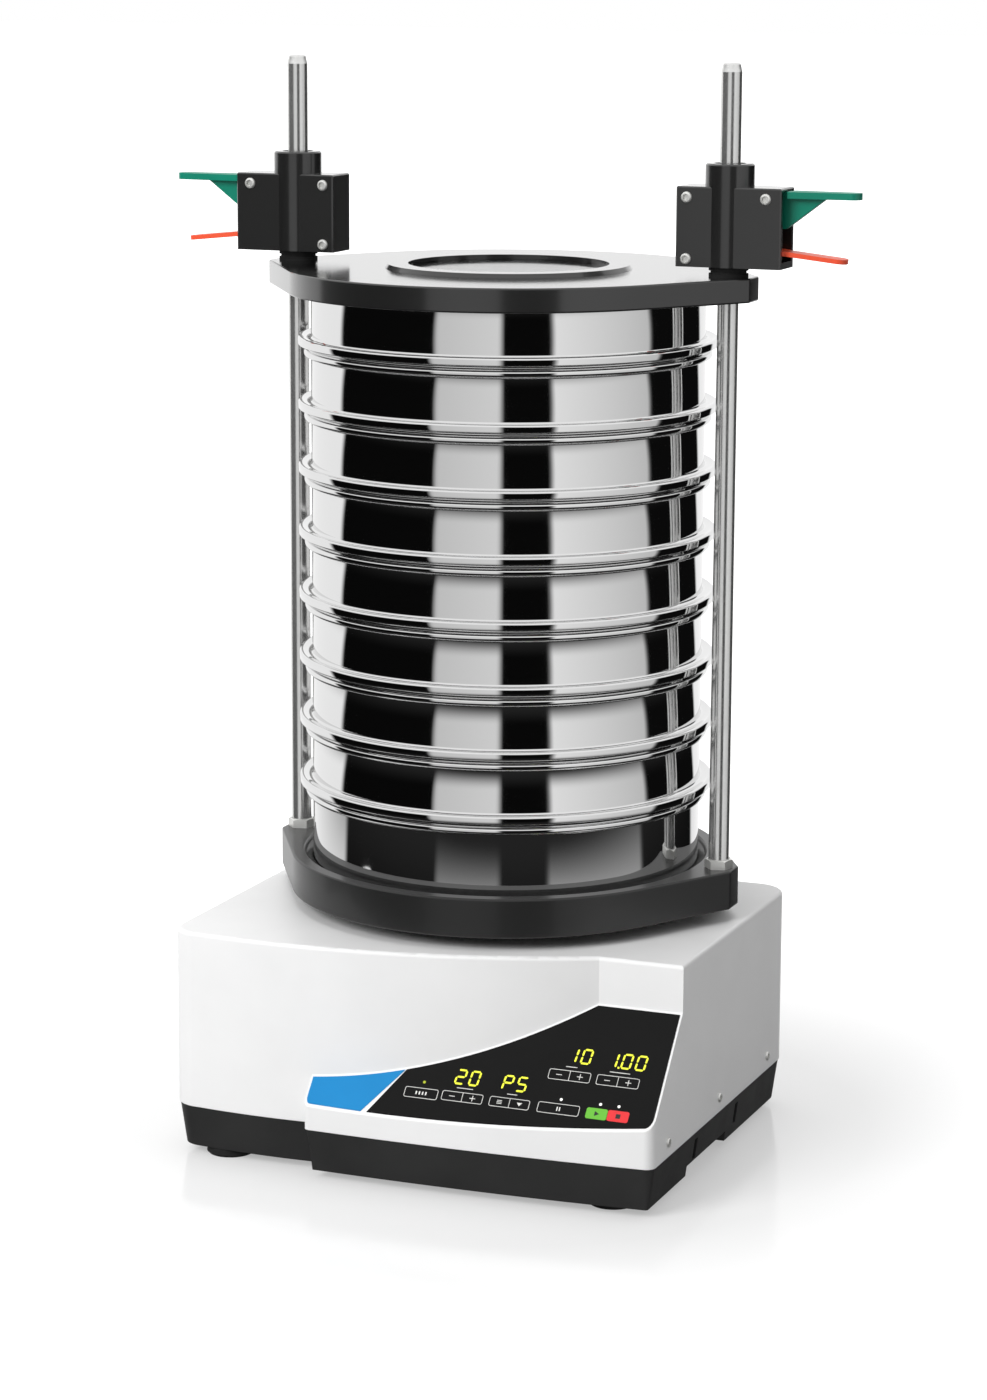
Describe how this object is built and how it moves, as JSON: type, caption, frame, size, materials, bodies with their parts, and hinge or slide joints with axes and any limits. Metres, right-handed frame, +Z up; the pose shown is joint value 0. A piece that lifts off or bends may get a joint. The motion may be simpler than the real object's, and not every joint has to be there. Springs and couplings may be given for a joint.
{
  "type": "sieve shaker",
  "caption": "Electromagnetic sieve shaker: a panelled base shakes a plate with a collecting pan, nesting sieves and a clamped lid on two guide rods.",
  "frame": {"origin": "on the standing surface, below the middle of the whole outline", "axes": "+Z up along the sieve stack and guide rods, -Y towards the control panel, +X to the viewer's right"},
  "size_m": [0.5616, 0.3894, 0.8355],
  "materials": {
    "hood_white": "satin",
    "tray_black": "matte",
    "rubber_black": "matte",
    "film_black": "satin",
    "film_blue": "satin",
    "display_dark": "gloss",
    "board_green": "satin",
    "socket_black": "satin",
    "bright_steel": "satin",
    "port_steel": "satin",
    "chassis_steel": "satin",
    "spring_plastic": "satin",
    "core_steel": "matte",
    "coil_copper": "satin",
    "supply_metal": "satin",
    "plate_black": "satin",
    "cast_aluminium": "matte",
    "rod_steel": "polished",
    "sieve_steel": "polished",
    "mesh_steel": "satin",
    "window_clear": "gloss",
    "clamp_black": "satin",
    "bush_black": "matte",
    "lever_green": "satin",
    "lever_red": "satin",
    "film_rocker": "satin"
  },
  "bodies": {
    "base": {"housing_hood": "hood_white", "base_tray": "tray_black", "rubber_feet": "rubber_black", "side_screws": "bright_steel", "panel_film": "film_black", "accent_film": "film_blue", "display_modules": "display_dark", "control_board": "board_green", "inlet_module": "socket_black", "data_port": "port_steel", "chassis": "chassis_steel", "leaf_springs": "spring_plastic", "magnet_core": "core_steel", "magnet_coil": "coil_copper", "power_supply": "supply_metal", "dust_boot": "rubber_black"},
    "rocker": {"mains_rocker": "film_rocker"},
    "drive": {"armature": "core_steel", "spring_carrier": "cast_aluminium"},
    "platform": {"drive_column": "cast_aluminium", "sieve_plate": "plate_black", "guide_rods": "rod_steel", "rod_nuts": "bright_steel", "plate_bolts": "bright_steel"},
    "pan": {"collecting_pan": "sieve_steel"},
    "sieve_1": {"sieve_frame_1": "sieve_steel", "sieve_mesh_1": "mesh_steel"},
    "sieve_2": {"sieve_frame_2": "sieve_steel", "sieve_mesh_2": "mesh_steel"},
    "sieve_3": {"sieve_frame_3": "sieve_steel", "sieve_mesh_3": "mesh_steel"},
    "sieve_4": {"sieve_frame_4": "sieve_steel", "sieve_mesh_4": "mesh_steel"},
    "sieve_5": {"sieve_frame_5": "sieve_steel", "sieve_mesh_5": "mesh_steel"},
    "sieve_6": {"sieve_frame_6": "sieve_steel", "sieve_mesh_6": "mesh_steel"},
    "sieve_7": {"sieve_frame_7": "sieve_steel", "sieve_mesh_7": "mesh_steel"},
    "sieve_8": {"sieve_frame_8": "sieve_steel", "sieve_mesh_8": "mesh_steel"},
    "lid": {"lid_plate": "plate_black", "lid_window": "window_clear", "window_ring": "plate_black", "lid_seal": "rubber_black"},
    "clamp_left": {"clamp_body_left": "clamp_black", "clamp_screws_left": "bright_steel", "guide_bushes_left": "bush_black"},
    "release_left": {"release_lever_left": "lever_green"},
    "brake_left": {"brake_lever_left": "lever_red"},
    "grip_left": {"grip_plate_left": "bright_steel"},
    "clamp_right": {"clamp_body_right": "clamp_black", "clamp_screws_right": "bright_steel", "guide_bushes_right": "bush_black"},
    "release_right": {"release_lever_right": "lever_green"},
    "brake_right": {"brake_lever_right": "lever_red"},
    "grip_right": {"grip_plate_right": "bright_steel"}
  },
  "joints": [
    {"name": "drive_slide", "type": "slide", "parent": "base", "child": "drive", "axis": [0, 0, 1], "range_m": [-0.0015, 0.0015], "stiffness_N_per_m": 400000, "springref_m": 0.00052, "deforming": ["leaf_springs", "dust_boot"]},
    {"name": "platform_twist", "type": "hinge", "parent": "drive", "child": "platform", "pos_m": [0, 0.02375, 0.1], "axis": [0, 0, 1], "range_deg": [-1.25, 1.25]},
    {"name": "pan_lift", "type": "slide", "parent": "platform", "child": "pan", "axis": [0, 0, 1], "range_m": [0, 0.02]},
    {"name": "sieve_1_lift", "type": "slide", "parent": "pan", "child": "sieve_1", "axis": [0, 0, 1], "range_m": [0, 0.03]},
    {"name": "sieve_2_lift", "type": "slide", "parent": "sieve_1", "child": "sieve_2", "axis": [0, 0, 1], "range_m": [0, 0.03]},
    {"name": "sieve_3_lift", "type": "slide", "parent": "sieve_2", "child": "sieve_3", "axis": [0, 0, 1], "range_m": [0, 0.03]},
    {"name": "sieve_4_lift", "type": "slide", "parent": "sieve_3", "child": "sieve_4", "axis": [0, 0, 1], "range_m": [0, 0.03]},
    {"name": "sieve_5_lift", "type": "slide", "parent": "sieve_4", "child": "sieve_5", "axis": [0, 0, 1], "range_m": [0, 0.03]},
    {"name": "sieve_6_lift", "type": "slide", "parent": "sieve_5", "child": "sieve_6", "axis": [0, 0, 1], "range_m": [0, 0.03]},
    {"name": "sieve_7_lift", "type": "slide", "parent": "sieve_6", "child": "sieve_7", "axis": [0, 0, 1], "range_m": [0, 0.03]},
    {"name": "sieve_8_lift", "type": "slide", "parent": "sieve_7", "child": "sieve_8", "axis": [0, 0, 1], "range_m": [0, 0.03]},
    {"name": "lid_lift", "type": "slide", "parent": "sieve_8", "child": "lid", "axis": [0, 0, 1], "range_m": [0, 0.04]},
    {"name": "clamp_left_slide", "type": "slide", "parent": "lid", "child": "clamp_left", "axis": [0, 0, 1], "range_m": [0, 0.12]},
    {"name": "release_left_press", "type": "hinge", "parent": "clamp_left", "child": "release_left", "pos_m": [-0.2115, 0.02375, 0.7365], "axis": [0, -1, 0], "range_deg": [0, 20], "stiffness_Nm_per_rad": 0.2, "springref_deg": -11.46},
    {"name": "grip_left_slide", "type": "slide", "parent": "clamp_left", "child": "grip_left", "axis": [0, 0, 1], "range_m": [0, 0.007]},
    {"name": "brake_left_lift", "type": "hinge", "parent": "clamp_left", "child": "brake_left", "pos_m": [-0.14991, 0.02375, 0.70373], "axis": [0, 1, 0], "range_deg": [0, 5], "stiffness_Nm_per_rad": 0.5, "springref_deg": -11.46},
    {"name": "clamp_right_slide", "type": "slide", "parent": "lid", "child": "clamp_right", "axis": [0, 0, 1], "range_m": [0, 0.12]},
    {"name": "release_right_press", "type": "hinge", "parent": "clamp_right", "child": "release_right", "pos_m": [0.2115, 0.02375, 0.7365], "axis": [0, 1, 0], "range_deg": [0, 20], "stiffness_Nm_per_rad": 0.2, "springref_deg": -11.46},
    {"name": "grip_right_slide", "type": "slide", "parent": "clamp_right", "child": "grip_right", "axis": [0, 0, 1], "range_m": [0, 0.007]},
    {"name": "brake_right_lift", "type": "hinge", "parent": "clamp_right", "child": "brake_right", "pos_m": [0.14991, 0.02375, 0.70373], "axis": [0, -1, 0], "range_deg": [0, 5], "stiffness_Nm_per_rad": 0.5, "springref_deg": -11.46},
    {"name": "mains_rocker_tilt", "type": "hinge", "parent": "base", "child": "rocker", "pos_m": [-0.13, 0.14075, 0.099], "axis": [1, 0, 0], "range_deg": [-16, 0]}
  ],
  "couplings": [
    {"joint": "platform_twist", "follows": "drive_slide", "rad_per_m": -13.86},
    {"joint": "release_left_press", "follows": "grip_left_slide", "rad_per_m": 49.866},
    {"joint": "release_right_press", "follows": "grip_right_slide", "rad_per_m": 49.866}
  ]
}
